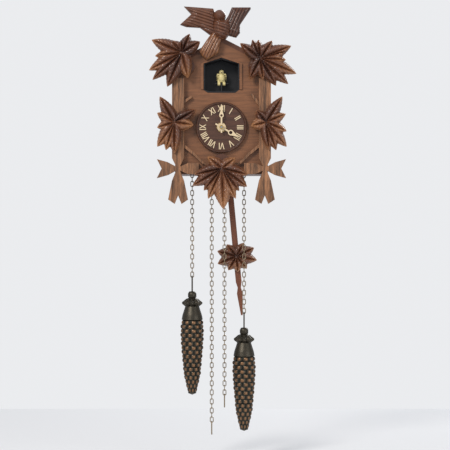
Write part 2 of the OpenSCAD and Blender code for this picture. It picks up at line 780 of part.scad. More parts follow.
// Front shell of the housing, with the bush that clamps the dial.
module movement_front() {
    color("dimgray") difference() {
        union() {
            difference() {
                slab(move_back - lid_t, move_d - lid_t) move_outline(0);
                slab(move_back - lid_t + past, move_d - lid_t - move_wall + past) move_outline(move_wall);
            }
            for (at = lid_screws)
                shaft(at[0], at[1], move_back - lid_t, move_d - lid_t, screw_r + 1.6);
            shaft(0, dial_z, board_back, front_t + dial_t + nut_t, bush_r);
        }
        for (at = lid_screws) screw_hole(at[0], move_back, at[1], 6);
        shaft(0, dial_z, board_back + move_wall + past, case_d, tube_r + run_gap);
        shaft(0, dial_z - motion_gap, board_back + move_wall + past, move_wall * 0.6 + past, pivot_r + run_gap);
        shaft(drive_x, drive_z, board_back + move_wall + past, move_wall * 0.6 + past, pivot_r + run_gap);
    }
}
lid_t = 2;

// Lid of the housing, pierced for the setting knob, the test button and the volume slider.
module movement_back() {
    color("dimgray") difference() {
        union() {
            slab(move_back, lid_t) move_outline(0);
            for (at = [[0, dial_z], [drive_x, drive_z]]) shaft(at[0], at[1], move_back - lid_t, 3, 2.4);
        }
        for (at = lid_screws) screw_hole(at[0], move_back, at[1], lid_t + past);
        for (at = bracket_screws) screw_hole(at[0], move_back, at[1], lid_t + past);
        for (at = [[0, dial_z], [drive_x, drive_z]])
            shaft(at[0], at[1], move_back - lid_t + 0.5, 4, pivot_r + run_gap);
        shaft(0, dial_z - motion_gap, move_back + past, lid_t + 2 * past, arbor_r + run_gap);
        shaft(button_x, control_z, move_back + past, lid_t + 2 * past, button_r + run_gap);
        block([slider_x - slider_travel - 1.5 - slide_gap, move_back - lid_t - past, control_z - 1 - slide_gap],
            [slider_x + slider_travel + 1.5 + slide_gap, move_back + past, control_z + 1 + slide_gap]);
    }
}

// Wheels stand in three planes, counted from the housing's front wall.
hour_y = board_back + move_wall + 1.7;
minute_y = hour_y + 2.6;
centre_y = minute_y + 2.4;

// Cannon pinion and centre wheel on one arbor that carries the minute hand.
module centre_arbor() {
    color("silver") {
        shaft(0, dial_z, centre_y + 0.6, centre_y + 0.6 - minute_hand_y, arbor_r);
        shaft(0, dial_z, minute_hand_y, hand_t + 1.4, tip_r);
        shaft(0, dial_z, move_back - lid_t - 0.3, move_back - lid_t - 0.3 - centre_y, pivot_r);
        wheel(0, dial_z, minute_y + 0.6, 2.2, cannon_n, motion_module, -90);
        wheel(0, dial_z, centre_y, 1, centre_n, drive_module, drive_angle);
    }
}

// Intermediate wheel with its pinion and the setting knob on one arbor.
module minute_wheel() {
    z = dial_z - motion_gap;
    color("whitesmoke") {
        wheel(0, z, minute_y, 1, minute_n, motion_module, 90, true);
        wheel(0, z, minute_y - 0.9, 2.9, minute_pinion_n, hour_module, 90, true);
        shaft(0, z, move_back + 1, move_back + 1 - board_back - move_wall - 0.2, pivot_r + 0.4);
        shaft(0, z, board_back + move_wall + 0.3, 0.9, pivot_r);
        shaft(0, z, move_back + 0.4, lid_t + 1, arbor_r);
        shaft(0, z, move_back + 3.4, 3, knob_r);
    }
}

module hour_wheel() {
    color("whitesmoke") difference() {
        union() {
            wheel(0, dial_z, hour_y, 1.2, hour_n, hour_module, -90);
            shaft(0, dial_z, hour_y, hour_y - hour_hand_y + hand_t + 0.2, tube_r);
        }
        shaft(0, dial_z, hour_y + past, case_d, arbor_r + run_gap);
    }
}

module drive_pinion() {
    color("gold") {
        wheel(drive_x, drive_z, centre_y + 0.6, 2.2, drive_n, drive_module, drive_angle + 180, true);
        shaft(drive_x, drive_z, move_back - lid_t - 0.3, move_back - lid_t - board_back - move_wall + 0.4, pivot_r);
    }
}

// Coil and stator of the stepping motor on the housing's front wall.
module step_motor() {
    x = -move_w / 2 + move_wall + 6.5;
    z = dial_z - 3;
    front = board_back + move_wall;
    color("orangered") {
        slab(front + 2, 2) translate([x - 3, z - 12]) square([6, 24]);
        block([x - 3, front, z - 12], [x + 3, front + 12, z - 10]);
        block([x - 3, front, z + 10], [x + 3, front + 12, z + 12]);
        translate([x, front + 8, z - 10]) cylinder(h = 20, r = 3.6);
    }
}

module circuit_board() {
    y = move_back - lid_t - 5;
    z = control_z;
    color("darkgreen") {
        block([-move_w / 2 + 7.5, y - 1.2, z - 4.5], [move_w / 2 - 7.5, y, z + 4.5]);
        block([-4, y, z - 3], [4, y + 1.2, z + 3]);
        for (x = [-20.2, 20.2]) shaft(x, z, move_back - lid_t, 5, 1.3);
    }
}

module test_button() {
    color("firebrick") {
        shaft(button_x, control_z, move_back + 2, lid_t + 3.5, button_r);
        shaft(button_x, control_z, move_back - lid_t - 0.1, 1, button_r + 0.8);
    }
}

module volume_slider() {
    color("white") {
        block([slider_x - 1.5, move_back - lid_t - 1.3, control_z - 1], [slider_x + 1.5, move_back + 2, control_z + 1]);
        block([slider_x - 3, move_back - lid_t - 1.3, control_z - 2], [slider_x + 3, move_back - lid_t - 0.3, control_z + 2]);
    }
}

// ---- battery holder and loudspeaker ----

module battery_holder() {
    color("dimgray") difference() {
        block([holder_x0, holder_y0, holder_z0], [holder_x1, holder_y1, holder_z1]);
        block([holder_x0 + holder_wall, holder_y0 + holder_wall, holder_z0 + holder_wall],
            [holder_x1 - holder_wall, holder_y1 + past, holder_z1 - holder_wall]);
    }
}

module batteries() {
    color("goldenrod") for (y = cell_y) {
        translate([cell_x, y, cell_z0]) cylinder(h = cell_len - 1, r = cell_r);
        translate([cell_x, y, cell_z0]) cylinder(h = cell_len, r = 2.7);
    }
}

module battery_contacts() {
    color("silver") for (y = cell_y) for (z = [cell_z0 - contact_t, cell_z0 + cell_len])
        block([cell_x - 4, y - 4, z], [cell_x + 4, y + 4, z + contact_t]);
}

module speaker() {
    color("dimgray") translate([inner_x, speaker_y, speaker_z]) rotate([0, -90, 0]) rotate_extrude() polygon([
        [0, 3], [speaker_r * 0.55, 1.6], [speaker_r * 0.9, 0], [speaker_r, 0], [speaker_r, 1.6],
        [speaker_r * 0.6, 6], [speaker_r * 0.5, 6], [speaker_r * 0.5, 11], [0, 11]]);
}

// ---- back door ----

module back_door() {
    color("burlywood") difference() {
        union() {
            block([door_axis[0], door_y0, door_z0], [door_x1, -door_inset, door_z1]);
            translate([door_axis[0], door_axis[1], door_z0]) cylinder(h = door_z1 - door_z0, r = door_t / 2);
        }
        for (z = [door_z0 - past, door_z1 - 10]) translate([door_axis[0], door_axis[1], z])
            cylinder(h = 10 + past, r = pin_r + run_gap);
    }
}

// A steel pin in each end of the door's edge.
module door_pins() {
    color("silver") for (z = [door_z0 - pin_reach, door_z1 - 9.5]) translate([door_axis[0], door_axis[1], z])
        cylinder(h = pin_reach + 9.5, r = pin_r);
}

// Turn button, stored upright clear of the door.
module door_latch() {
    color("gold") difference() {
        slab(-door_inset + 0.1 + latch_t, latch_t) {
            translate([latch_x, latch_z]) circle(r = latch_w / 2);
            translate([latch_x - latch_w / 2, latch_z]) square([latch_w, latch_len - latch_w / 2]);
            translate([latch_x, latch_z + latch_len - latch_w / 2]) circle(r = latch_w / 2);
        }
        shaft(latch_x, latch_z, past, 2 * past + door_inset + latch_t, screw_r + run_gap);
    }
}

// ---- pendulum, modelled hanging straight down and then swung to one side ----

module swung() {
    translate([0, 0, pivot_z]) rotate([0, -swing, 0]) children();
}

// Plate on the housing's lid with the stud that the pendulum swings on.
module pendulum_bracket() {
    y = move_back + bracket_t;
    color("silver") {
        difference() {
            slab(y, bracket_t) {
                translate([-11, dial_z + 8]) square([22, 8]);
                translate([-4, dial_z + 9]) square([8, pivot_z - dial_z - 5]);
            }
            for (at = bracket_screws) screw_hole(at[0], y, at[1], bracket_t + past);
        }
        shaft(0, pivot_z, stud_end, stud_end - y + bracket_t / 2, stud_r);
    }
}

module pendulum_coil() {
    y = move_back + bracket_t;
    color("darkorange") shaft(0, pivot_z - coil_drop, y + coil_t, coil_t, coil_r);
}

// Plastic lever with a bore for the stud, a magnet opposite the coil and the rod's seat.
module pendulum_leader() {
    color("ivory") difference() {
        union() {
            swung() {
                slab(-pendulum_y, leader_t) translate([-4, -leader_len]) square([8, leader_len]);
                shaft(0, -coil_drop, -pendulum_y - leader_t, 2.4, 4);
            }
            shaft(0, pivot_z, -pendulum_y + 4, leader_t + 5, 4);
        }
        shaft(0, pivot_z, 0, case_d, stud_r + run_gap);
    }
}

module pendulum_rod() {
    w = rod_w / 2;
    top = -leader_len + 12;
    color("sienna") swung() slab(-pendulum_y + rod_t, rod_t) polygon([[-w, top], [w, top],
        [w, -pendulum_len + 40], [0.55 * w, -pendulum_len + 33], [w, -pendulum_len + 26],
        [0.3 * w, -pendulum_len], [-0.3 * w, -pendulum_len], [-w, -pendulum_len + 26],
        [-0.55 * w, -pendulum_len + 33], [-w, -pendulum_len + 40]]);
}

// Leaf in front of the rod, held by a clip that slides on it.
module pendulum_leaf() {
    w = rod_w / 2;
    back = -pendulum_y - 0.3;
    color("sienna") swung() {
        slab(back, leaf_t - 1) translate([0, -bob_at]) leaf_outline(lobes_bob);
        shaft(0, -bob_at, back, leaf_t - 1, leaf_hub * leaf_scale);
        for (side = [-1, 1]) block([side * (w + 1) - 0.8, back - 0.5, -bob_at - 6],
            [side * (w + 1) + 0.8, -pendulum_y + rod_t + 1.2, -bob_at + 6]);
        block([-w - 1, -pendulum_y + rod_t + 0.2, -bob_at - 6], [w + 1, -pendulum_y + rod_t + 1.2, -bob_at + 6]);
    }
}

// ---- chains and weights ----

// Flat outline of a link, long way along y.
module link_outline(grow) {
    run = (link_inner - link_w) / 2 + wire_d;
    for (s = [-1, 1]) translate([0, s * run]) circle(r = link_w / 2 - grow, $fn = 24);
    translate([-link_w / 2 + grow, -run]) square([link_w - 2 * grow, 2 * run]);
}

module link() {
    translate([0, wire_d / 2, 0]) rotate([90, 0, 0]) linear_extrude(wire_d) difference() {
        link_outline(0);
        link_outline(wire_d);
    }
}

// Every other link faces the front; the first one stands across the pin.
module strand(n) {
    color("silver") for (k = [0 : chain_links[n] - 1])
        translate([chain_x[n], -chain_y, first_link_z - k * link_pitch]) rotate([0, 0, k % 2 == 0 ? 90 : 0]) link();
}

function strand_end(n) = first_link_z - (chain_links[n] - 1) * link_pitch - link_inner / 2;

// Hook on the end of a free strand. It lies in the plane across the last link.
module end_hook(n) {
    z = strand_end(n);
    color("dimgray") translate([chain_x[n], -chain_y, z]) rotate([0, 0, chain_links[n] % 2 == 0 ? 90 : 0])
        wire_hook(free_hook_r, free_hook_wire, free_hook_stem);
}

// Upright ring of wire whose top stands on the given height, with a stem below.
module wire_hook(ring, wire, stem) {
    translate([0, 0, wire + hook_gap - ring]) {
        rotate([90, 0, 0]) rotate_extrude() translate([ring - wire / 2, 0]) circle(r = wire / 2, $fn = 24);
        translate([0, 0, -ring - stem]) cylinder(h = stem + wire / 2, r = wire / 2);
    }
}

// Cast cone with a ringed cap, a flared crown and a blunt tip, hung on a wire eye.
module weight(n) {
    top = strand_end(n) + hook_wire + hook_gap - 2 * hook_r - hook_stem;
    neck = top - 14;
    z0 = top - 8 - cone_len;
    color("darkslategray") translate([chain_x[n], -chain_y, 0]) {
        rotate_extrude() polygon([[0, top], [3.6, top - 0.5], [5, top - 3], [5, top - 7], [4, top - 8],
            [7, top - 9], [0.85 * cone_r, neck + 1], [0.85 * cone_r, neck - 1], [0.5 * cone_r, neck - 4],
            [0.8 * cone_r, neck - 14], [0.97 * cone_r, neck - 26], [cone_r, neck - 36],
            [0.93 * cone_r, neck - 52], [0.72 * cone_r, z0 + 24], [0.45 * cone_r, z0 + 8],
            [0.33 * cone_r, z0 + 2], [0, z0]]);
        translate([0, 0, strand_end(n)]) rotate([0, 0, 90]) wire_hook(hook_r, hook_wire, hook_stem + 0.5);
    }
}

module chain_left_weight() strand(0);
module chain_left_free() {
    strand(1);
    end_hook(1);
}
module chain_right_free() {
    strand(2);
    end_hook(2);
}
module chain_right_weight() strand(3);
module weight_left() weight(0);
module weight_right() weight(3);

front_board();
side_left();
side_right();
floor_board();
roof_boards();
back_gable();
hanger_plate();
screws();
leaf_top_left();
leaf_top_right();
leaf_mid_left();
leaf_mid_right();
leaf_bottom();
ridge_bird();
post_left();
post_right();
cross_rails();
window_trim();
window_chamber();
dial_disc();
dial_numerals();
movement_front();
movement_back();
dial_nut();
step_motor();
circuit_board();
battery_holder();
batteries();
battery_contacts();
speaker();
solenoid();
pendulum_bracket();
pendulum_coil();
chain_pins();
back_door();
door_pins();
door_latch();
cuckoo_body();
cuckoo_beak();
cuckoo_wing_left();
cuckoo_wing_right();
solenoid_plunger();
minute_hand();
hour_hand();
hand_nut();
centre_arbor();
minute_wheel();
hour_wheel();
drive_pinion();
test_button();
volume_slider();
pendulum_leader();
pendulum_rod();
pendulum_leaf();
chain_left_weight();
chain_left_free();
chain_right_free();
chain_right_weight();
weight_left();
weight_right();
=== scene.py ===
import math
import bpy
import numpy as np
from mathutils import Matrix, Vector


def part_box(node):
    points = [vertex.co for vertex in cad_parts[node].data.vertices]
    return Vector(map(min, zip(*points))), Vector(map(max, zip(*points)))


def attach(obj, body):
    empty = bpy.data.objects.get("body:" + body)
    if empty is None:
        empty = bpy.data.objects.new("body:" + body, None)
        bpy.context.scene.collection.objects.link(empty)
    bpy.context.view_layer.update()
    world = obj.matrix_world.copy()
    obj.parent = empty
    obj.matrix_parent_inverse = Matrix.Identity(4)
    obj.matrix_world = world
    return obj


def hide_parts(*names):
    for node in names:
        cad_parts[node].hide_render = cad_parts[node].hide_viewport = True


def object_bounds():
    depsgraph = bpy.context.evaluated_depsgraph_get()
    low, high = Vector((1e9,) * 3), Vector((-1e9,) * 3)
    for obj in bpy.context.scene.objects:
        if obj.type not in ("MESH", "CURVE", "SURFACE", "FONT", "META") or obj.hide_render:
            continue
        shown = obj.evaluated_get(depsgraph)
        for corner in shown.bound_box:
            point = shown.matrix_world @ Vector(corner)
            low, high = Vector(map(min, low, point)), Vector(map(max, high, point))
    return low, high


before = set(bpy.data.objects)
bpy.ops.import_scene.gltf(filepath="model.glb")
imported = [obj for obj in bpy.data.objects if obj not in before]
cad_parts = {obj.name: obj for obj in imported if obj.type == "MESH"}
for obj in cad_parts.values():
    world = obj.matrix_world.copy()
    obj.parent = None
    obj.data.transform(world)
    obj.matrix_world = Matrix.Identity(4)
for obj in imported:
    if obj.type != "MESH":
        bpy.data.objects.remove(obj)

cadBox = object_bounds()
mm = 0.001
print("frame loaded:", len(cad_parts), "nodes")

# ---- camera, light and backdrop ----

viewSet = {"distance": 1.75, "frameWidth": 0.522, "aimX": 0.0041, "aimZ": -0.189, "planeY": -0.07}


def makeCamera(v):
    cam = bpy.data.cameras.new("camera")
    cam.sensor_width = 36
    cam.lens = 36 * v["distance"] / v["frameWidth"]
    obj = bpy.data.objects.new("camera", cam)
    bpy.context.scene.collection.objects.link(obj)
    obj.location = (v["aimX"], v["planeY"] - v["distance"], v["aimZ"])
    obj.rotation_euler = (math.radians(90), 0, 0)
    bpy.context.scene.camera = obj


def areaLight(name, place, aim, size, watts, tint=(1, 1, 1)):
    lamp = bpy.data.lights.new(name, "AREA")
    lamp.shape, lamp.size, lamp.energy, lamp.color = "DISK", size, watts, tint
    obj = bpy.data.objects.new(name, lamp)
    bpy.context.scene.collection.objects.link(obj)
    obj.location = place
    obj.rotation_euler = (Vector(aim) - Vector(place)).to_track_quat("-Z", "Y").to_euler()


makeCamera(viewSet)
bpy.context.scene.view_settings.view_transform = "Standard"
areaLight("keyLight", (-0.75, -1.25, 0.75), (0, 0, -0.12), 0.5, 17, (1, 0.97, 0.93))
areaLight("fillLight", (1.2, -1.2, -0.1), (0, 0, -0.2), 1.0, 7)
areaLight("rearLight", (0.6, 1.3, 0.6), (0, 0, -0.15), 0.9, 13)


def makeWorld():
    world = bpy.data.worlds.new("world")
    bpy.context.scene.world = world
    world.use_nodes = True
    nodes, links = world.node_tree.nodes, world.node_tree.links
    nodes.clear()
    out, mix = nodes.new("ShaderNodeOutputWorld"), nodes.new("ShaderNodeMixShader")
    rays = nodes.new("ShaderNodeLightPath")
    dim, pale = nodes.new("ShaderNodeBackground"), nodes.new("ShaderNodeBackground")
    dim.inputs["Color"].default_value, dim.inputs["Strength"].default_value = (0.9, 0.94, 1, 1), 0.5
    pale.inputs["Color"].default_value, pale.inputs["Strength"].default_value = (0.83, 0.84, 0.86, 1), 1
    links.new(rays.outputs["Is Camera Ray"], mix.inputs[0])
    links.new(dim.outputs[0], mix.inputs[1])
    links.new(pale.outputs[0], mix.inputs[2])
    links.new(mix.outputs[0], out.inputs["Surface"])


makeWorld()

# ---- mesh helpers ----


def makeMesh(name, verts, faces, tone=None, sharp=40):
    mesh = bpy.data.meshes.new(name)
    mesh.from_pydata(np.asarray(verts, float).tolist(), [], [tuple(f) for f in np.asarray(faces).tolist()])
    if tone is not None:
        layer = mesh.attributes.new("tone", "FLOAT", "POINT")
        layer.data.foreach_set("value", np.asarray(tone, np.float32).ravel())
    mesh.validate()
    mesh.shade_smooth()
    if sharp:
        mesh.set_sharp_from_angle(angle=math.radians(sharp))
    obj = bpy.data.objects.new(name, mesh)
    bpy.context.scene.collection.objects.link(obj)
    return obj


def joinParts(parts):
    # parts are (verts, faces, tone); faces are quads, and the second part's indices follow the first's
    verts, faces, tones, start = [], [], [], 0
    for v, f, t in parts:
        verts.append(v)
        faces.append(np.asarray(f) + start)
        tones.append(np.broadcast_to(np.asarray(t, float), (len(v),)))
        start += len(v)
    return np.concatenate(verts), np.concatenate(faces), np.concatenate(tones)


def gridFaces(rows, cols, closeCols=False):
    # quads of a rows x cols grid of points, closed round the columns if asked
    r = np.arange(rows - 1)[:, None]
    c = np.arange(cols if closeCols else cols - 1)[None, :]
    n = (c + 1) % cols
    return np.stack([r * cols + c, r * cols + n, (r + 1) * cols + n, (r + 1) * cols + c], -1).reshape(-1, 4)


def latheArrays(radii, heights, around=48, ripple=None):
    # turns a profile: x = r cos a, y = r sin a, z = height; the two ends close on the axis
    a = np.linspace(0, 2 * np.pi, around, endpoint=False)
    r = np.asarray(radii, float)[:, None] * np.ones((1, around))
    if ripple is not None:
        r = r * ripple(np.asarray(heights, float)[:, None], a[None, :])
    z = np.asarray(heights, float)[:, None] * np.ones((1, around))
    return np.stack([r * np.cos(a), r * np.sin(a), z], -1).reshape(-1, 3), gridFaces(len(radii), around, True)


def tubeArrays(path, radius, sides=8, closed=False):
    # a circle carried along a path; its frame comes from the tangent and one fixed side direction
    p = np.asarray(path, float)
    tangent = (np.roll(p, -1, 0) - np.roll(p, 1, 0)) if closed else np.gradient(p, axis=0)
    tangent /= np.linalg.norm(tangent, axis=1)[:, None]
    flat = np.argmin(p.max(0) - p.min(0))
    side = np.zeros(3)
    side[flat] = 1
    normal = np.cross(tangent, side)
    normal /= np.linalg.norm(normal, axis=1)[:, None]
    a = np.linspace(0, 2 * np.pi, sides, endpoint=False)
    ring = normal[:, None, :] * np.cos(a)[None, :, None] + side[None, None, :] * np.sin(a)[None, :, None]
    verts = (p[:, None, :] + radius * ring).reshape(-1, 3)
    faces = gridFaces(len(p), sides, True)
    if closed:
        last, c = (len(p) - 1) * sides, np.arange(sides)
        n = (c + 1) % sides
        faces = np.concatenate([faces, np.stack([last + c, last + n, n, c], -1)])
    return verts, faces[:, ::-1]


def smoothStep(v):
    v = np.clip(v, 0, 1)
    return v * v * (3 - 2 * v)


def carve(name, field, relief, low, high, backY, step=0.55):
    # a carved board: field(x, z) is above 0 inside the outline, relief(x, z) is the thickness and the tone, which holds
    # painted highlights and painted shade
    x, z = np.meshgrid(np.arange(low[0] - step, high[0] + step, step),
                       np.arange(low[1] - step, high[1] + step, step))
    cols = x.shape[1]
    x, z = x.ravel(), z.ravel()
    quads = gridFaces(len(x) // cols, cols)
    inside = field(x, z) > 0
    quads = quads[inside[quads].any(1)]
    used = np.unique(quads)
    outer = used[~inside[used]]
    px, pz, e = x[outer], z[outer], 0.02
    for _ in range(7):  # outer corners walk down the field's slope to the outline
        f = field(px, pz)
        gx = (field(px + e, pz) - field(px - e, pz)) / (2 * e)
        gz = (field(px, pz + e) - field(px, pz - e)) / (2 * e)
        k = np.clip(f / np.maximum(gx * gx + gz * gz, 0.05), -0.7 * step, 0.7 * step)
        px, pz = px - k * gx, pz - k * gz
    x[outer], z[outer] = np.clip(px, low[0], high[0]), np.clip(pz, low[1], high[1])
    number = np.full(len(x), -1)
    number[used] = np.arange(len(used))
    x, z, quads = x[used], z[used], number[quads]
    thick, tone = relief(x, z)
    n = len(x)
    front = np.stack([x, backY - thick, z], -1)
    rear = np.stack([x, np.full(n, backY), z], -1)
    edge = np.concatenate([quads[:, [i, (i + 1) % 4]] for i in range(4)])
    key = np.sort(edge, 1) @ np.array([n, 1])
    _, first, count = np.unique(key, return_index=True, return_counts=True)
    rim = edge[first[count == 1]]
    walls = np.stack([rim[:, 1], rim[:, 0], rim[:, 0] + n, rim[:, 1] + n], -1)
    faces = np.concatenate([quads, quads[:, ::-1] + n, walls])
    return np.concatenate([front, rear]) * mm, faces, np.concatenate([tone, np.full(n, 0.3)])


def bossArrays(x, z, y0, y1, r):
    # a round peg from y0 back to y1, in millimetres
    v, f = latheArrays([0, r, r, 0], [y0, y0, y1, y1], 32)
    return np.stack([v[:, 0] + x, v[:, 2], v[:, 1] + z], -1) * mm, f, 0.3


# ---- carved leaves ----

# each lobe: tip x, tip z, width, brightness from -1 dark to 1 pale
leafSets = {
    "leaf_top_left": {"boss": (-40, -4.5, 9), "lobes": [
        (-35, 15, 15, 0.1), (-31, -3.5, 13, 0.5), (-38, -20, 15, 0.3), (-34, -31, 13, -0.6), (-17, -39, 16, -0.8),
        (7, -29, 15, 0.5), (-12, 14, 13, -0.3), (0, 14, 12, -0.5), (9, 22, 12, -1), (21, 13, 14, -0.9)]},
    "leaf_top_right": {"boss": (40, -4.5, 9), "lobes": [
        (36, 15, 15, 0), (31, 9, 12, 0.3), (30, -1, 12, 0.5), (42, -17, 15, 0.4), (32.5, -29, 14, -0.3),
        (18.5, -31, 14, -0.9), (3.5, -24, 12, -0.2), (-12, -23, 13, -0.7), (14, 21, 12, -0.2), (-2, 22, 11, -0.6),
        (-9, 22, 11, -0.9), (-23, 18, 12, -0.7)]},
    "leaf_mid_left": {"lobes": [
        (-17, 30, 13, -0.3), (-20, 11, 12, 0.7), (-20, -6, 12, 0.7), (-20, -28, 14, 0.8), (-10, -32, 13, 0.7),
        (0, -36, 14, 0.1), (22, -3, 14, 1), (25, 15, 12, -1)]},
    "leaf_mid_right": {"lobes": [
        (19, 30, 13, -0.3), (23, 10, 12, 0.7), (24, -10, 12, 0.8), (24, -28, 14, 0.5), (12, -32, 13, 0.1),
        (3.5, -32, 12, -0.1), (-17, -4, 13, 1), (-11, 14, 12, -0.9)]},
    "leaf_bottom": {"boss": (0, -117.5, 11), "lobes": [
        (-34, -20, 15, -0.3), (-21, -25.5, 13, -0.2), (-32, -7, 14, -0.5), (30, -7, 14, -0.1), (29, -21, 15, -0.2),
        (20, -26, 13, -0.3), (-16, -35, 13, 0.8), (16, -35, 13, 0.8), (1.7, -47, 20, 1), (-16.5, 13.5, 12, 0.6),
        (15.5, 12, 12, 0.8)]},
}
leafCarve = {"thick": 10, "edge": 3.2, "hub": 8, "veinStep": 5.2}


def lobeField(x, z, lobe):
    # half width of a blade at share t of its length: w (0.2 (1 - t) + 0.5 sin(pi t^0.8)^0.8); field is that less |c|
    length, turn = math.hypot(lobe[0], lobe[1]), math.atan2(lobe[1], lobe[0])
    a = x * math.cos(turn) + z * math.sin(turn)
    c = z * math.cos(turn) - x * math.sin(turn)
    t = np.clip(a / length, 0, 1)
    half = lobe[2] * (0.2 * (1 - t) + 0.5 * np.maximum(np.sin(np.pi * t ** 0.8), 0) ** 0.8)
    notch = 1 - 0.06 * (0.5 + 0.5 * np.sin(a * 1.7 + lobe[0])) * smoothStep(t * 3)
    inside = half * notch - np.abs(c)
    past = np.where(a > length, a - length, np.where(a < 0, -a, 0))
    return np.where(past > 0, -np.hypot(past, np.maximum(np.abs(c) - half, 0)) - 0.01, inside), a, c, t, half


def leafField(x, z, lobes, hub):
    f = hub - np.hypot(x, z)
    for lobe in lobes:
        f = np.maximum(f, lobeField(x, z, lobe)[0])
    return f


def leafRelief(x, z, lobes, spec):
    # each blade: two crests beside a sunk midrib, cos-shaped side veins, falling to a thin rim
    best, thick, tone = np.full(x.shape, -9.0), np.zeros(x.shape), np.zeros(x.shape)
    for lobe in lobes:
        f, a, c, t, half = lobeField(x, z, lobe)
        score = f / lobe[2] + 0.04 * lobe[3]
        q = np.clip(np.abs(c) / np.maximum(half, 0.3), 0, 1)
        crest = np.sin(np.pi * q ** 0.75)
        arch = 0.35 + 0.65 * np.sin(np.pi * np.clip(t, 0, 1) ** 0.75)
        vein = np.maximum(np.cos(2 * np.pi * (a - 1.1 * np.abs(c)) / spec["veinStep"]), 0) ** 5 * crest
        h = 0.5 + 0.5 * crest * arch - 0.07 * vein - 0.16 * t ** 3
        # painted light: paler along the crests and towards the tips (painted highlight), darker in the sunk midrib near
        # the hub and in the vein grooves (painted shade), plus the lobe's brightness
        shade = 0.34 + 0.24 * lobe[3] + 0.26 * crest * t + 0.3 * t ** 4 - 0.2 * (1 - crest) * (1 - t) - 0.16 * vein
        win = score > best
        best, thick, tone = np.where(win, score, best), np.where(win, h, thick), np.where(win, shade, tone)
    f = leafField(x, z, lobes, spec["hub"])
    knob = np.exp(-(x * x + z * z) / 14)
    thick = thick + 0.18 * knob
    rim = smoothStep(f / 2.0)
    body = spec["edge"] + (spec["thick"] * thick - spec["edge"]) * (0.25 + 0.75 * rim)
    # painted highlight: paler along the outline of the leaf
    tone = tone + 0.22 * (1 - smoothStep(f / 1.1))
    return np.clip(body, 1.2, spec["thick"] - 0.02), np.clip(tone, 0, 1)


def makeLeaf(node, spec, body):
    low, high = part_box(node)
    lobes = spec["lobes"]
    xs, zs = [l[0] for l in lobes], [l[1] for l in lobes]
    cx, cz = low[0] / mm - min(xs), low[2] / mm - min(zs)
    back = low[1] / mm + leafCarve["thick"]
    parts = [carve(node, lambda x, z: leafField(x - cx, z - cz, lobes, leafCarve["hub"]),
                   lambda x, z: leafRelief(x - cx, z - cz, lobes, leafCarve),
                   (low[0] / mm, low[2] / mm), (high[0] / mm, high[2] / mm), back)]
    if "boss" in spec:
        bx, bz, br = spec["boss"]
        parts.append(bossArrays(bx, bz, back + 0.5, high[1] / mm, br))
    obj = makeMesh("carved_" + node, *joinParts(parts))
    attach(obj, body)
    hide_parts(node)
    return obj


leaves = [makeLeaf(node, spec, "case") for node, spec in leafSets.items()]
print("leaves carved")


# ---- ridge bird ----

# "grooves" is the direction across the feathers, and the third value is painted light, each piece paler or darker as it
# faces the light, from -1 dark to 1 pale
birdSpec = {"centreX": 0, "headZ": 13.5, "headX": -2, "headR": 7, "topOfHead": 24.5, "groove": 3.4,
            "body": {"back": -62, "thick": 20, "shapes": [
                ([(-8, 9), (-10.5, 1), (-9, -8), (-3, -14), (5, -13), (9.5, -7), (11, 2), (8, 9)], (0.3, 0.9), 0.1)]},
            "wings": {"back": -65, "thick": 11, "shapes": [
                ([(-6, 12), (-9, 22), (-35, 24), (-43.5, 24.5), (-35, 15.5), (-48, 3.5), (-41, 1), (-25, 0),
                  (-14, -8), (-4, -8)], (0.3, 0.95), 0.2),
                ([(4, -8), (17, -11.5), (21.5, -6), (21.5, 3.5), (34, 22), (34, 23.5), (12, 23.5), (8, 14), (4, 8)],
                 (0.9, -0.4), -0.5),
                ([(-8, -2), (0, -12), (-4, -29), (-10, -33), (-17, -37), (-22, -33), (-26, -27.5), (-17, -14)],
                 (0.9, -0.45), 0.9)]}}


def polygonField(x, z, corners):
    # distance to the nearest side, above 0 inside
    p = np.array(corners, float)
    q = np.roll(p, -1, 0)
    near, inside = np.full(x.shape, 1e9), np.zeros(x.shape, bool)
    for (ax, az), (bx, bz) in zip(p, q):
        t = np.clip(((x - ax) * (bx - ax) + (z - az) * (bz - az)) / ((bx - ax) ** 2 + (bz - az) ** 2), 0, 1)
        near = np.minimum(near, np.hypot(x - ax - t * (bx - ax), z - az - t * (bz - az)))
        if az != bz:
            inside ^= ((az > z) != (bz > z)) & (x < ax + (z - az) * (bx - ax) / (bz - az))
    return np.where(inside, near, -near)


def birdLayer(layer, spec, zc, low, high, headed):
    # thickness rises from the rim as the root of the distance, and the feathers are grooves of cos shape
    def head(x, z):
        return spec["headR"] - np.hypot(x - spec["headX"], z - zc - spec["headZ"]) if headed else np.full(x.shape, -99.0)

    def field(x, z):
        f = head(x, z)
        for corners, _, _ in layer["shapes"]:
            f = np.maximum(f, polygonField(x, z - zc, corners))
        return f

    def relief(x, z):
        f, tone, cut = field(x, z), np.full(x.shape, 0.4), np.zeros(x.shape)
        best = head(x, z)
        for corners, across, paintedLight in layer["shapes"]:
            d = polygonField(x, z - zc, corners)
            wave = np.maximum(np.cos(2 * np.pi * (x * across[0] + (z - zc) * across[1]) / spec["groove"]), 0) ** 2
            cut = np.where(d > best, wave, cut)
            # painted light: each piece paler or darker by how it faces the light, and painted shade in the feather
            # grooves
            tone = np.where(d > best, 0.42 + 0.3 * paintedLight - 0.3 * wave, tone)
            best = np.maximum(best, d)
        rise = np.sqrt(np.clip(f / 6, 0, 1))
        thick = layer["thick"] * (0.45 + 0.54 * rise) - 1.1 * cut * rise
        # painted highlight: paler along the outline
        return np.clip(thick, 2, layer["thick"] - 0.05), np.clip(tone + 0.15 * (1 - smoothStep(f / 1.2)), 0, 1)

    return carve("bird", field, relief, low, high, layer["back"])


